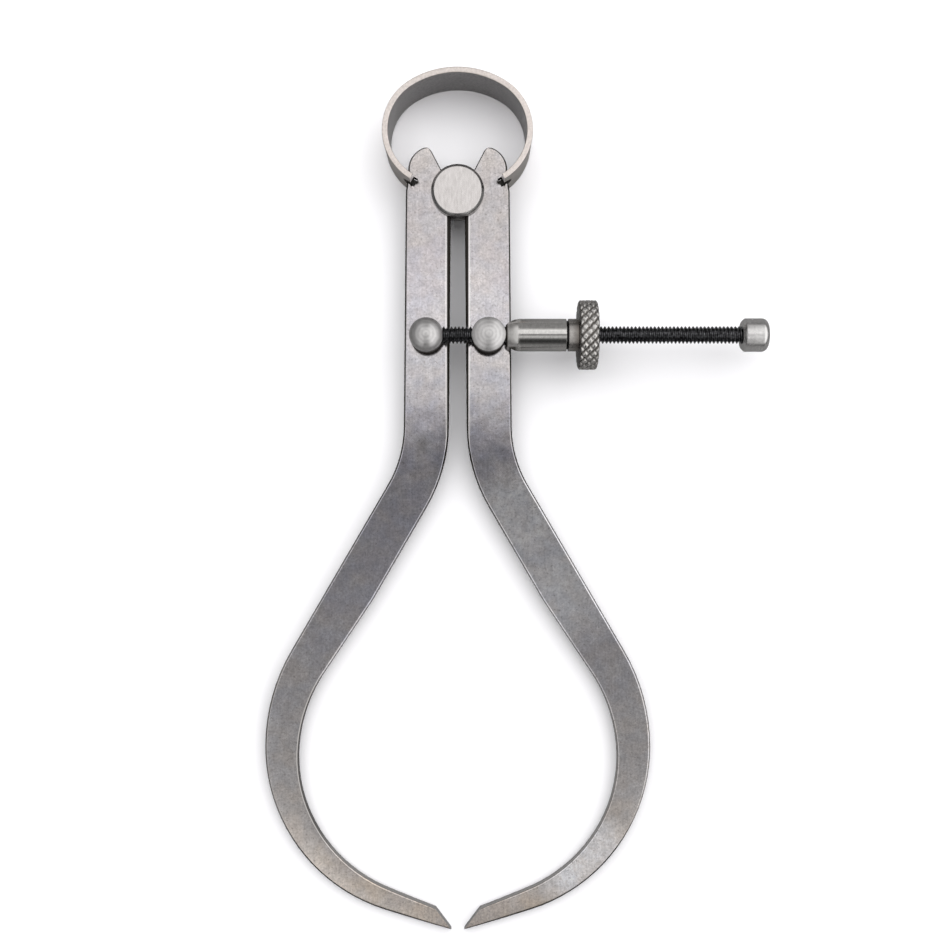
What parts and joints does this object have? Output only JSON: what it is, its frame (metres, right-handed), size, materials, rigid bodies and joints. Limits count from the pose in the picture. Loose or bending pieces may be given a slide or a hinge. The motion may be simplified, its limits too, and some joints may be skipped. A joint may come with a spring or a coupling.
{
  "type": "spring caliper",
  "caption": "Outside spring caliper: bowed flat steel legs turning on a stud under a bow spring, opened by an adjusting screw with sleeve, knurled nut and end cap.",
  "frame": {"origin": "on the fulcrum axis, at the middle of the stud's back face", "axes": "+X along the adjusting screw to its free end, +Y from the tips towards the bow spring, +Z out of the front face, with the tool lying on its back"},
  "size_m": [0.1016, 0.1742, 0.0175],
  "materials": {
    "leg_steel": "satin ground steel with a faint mottle, warmer towards the tips",
    "spring_steel": "tempered spring strip, dull inside, warm edges",
    "turned_steel": "bright turned steel with fine tool rings",
    "knurled_steel": "diamond knurl with darker valleys",
    "black_screw": "blackened steel thread"
  },
  "bodies": {
    "fulcrum": {"fulcrum_stud": "turned_steel", "bow_spring": "spring_steel"},
    "left_leg": {"left_leg": "leg_steel"},
    "right_leg": {"right_leg": "leg_steel"},
    "screw": {"left_post": "turned_steel", "adjusting_screw": "black_screw", "end_cap": "turned_steel"},
    "right_post": {"right_post": "turned_steel", "sleeve": "turned_steel"},
    "nut": {"knurled_nut": "knurled_steel"}
  },
  "joints": [
    {"name": "nut_spin", "type": "hinge", "parent": "right_post", "child": "nut", "pos_m": [0.0255, -0.02965, 0.0071], "axis": [1, 0, 0], "range_deg": [-191, 13275]},
    {"name": "left_leg_pivot", "type": "hinge", "parent": "fulcrum", "child": "left_leg", "pos_m": [0, 0, 0.00255], "axis": [0, 0, -1], "range_deg": [-0.46, 30.6], "deforming": ["bow_spring"]},
    {"name": "right_leg_pivot", "type": "hinge", "parent": "fulcrum", "child": "right_leg", "pos_m": [0, 0, 0.00255], "axis": [0, 0, 1], "range_deg": [-0.46, 30.6]},
    {"name": "screw_swivel", "type": "hinge", "parent": "left_leg", "child": "screw", "pos_m": [-0.00626, -0.02965, 0.00255], "axis": [0, 0, 1], "range_deg": [-0.46, 30.6]},
    {"name": "right_post_swivel", "type": "hinge", "parent": "right_leg", "child": "right_post", "pos_m": [0.00626, -0.02965, 0.00255], "axis": [0, 0, -1], "range_deg": [-0.46, 30.6]}
  ],
  "couplings": [
    {"joint": "left_leg_pivot", "follows": "nut_spin", "ratio": 0.0022965},
    {"joint": "right_leg_pivot", "follows": "nut_spin", "ratio": 0.0022965},
    {"joint": "screw_swivel", "follows": "nut_spin", "ratio": 0.0022965},
    {"joint": "right_post_swivel", "follows": "nut_spin", "ratio": 0.0022965}
  ]
}
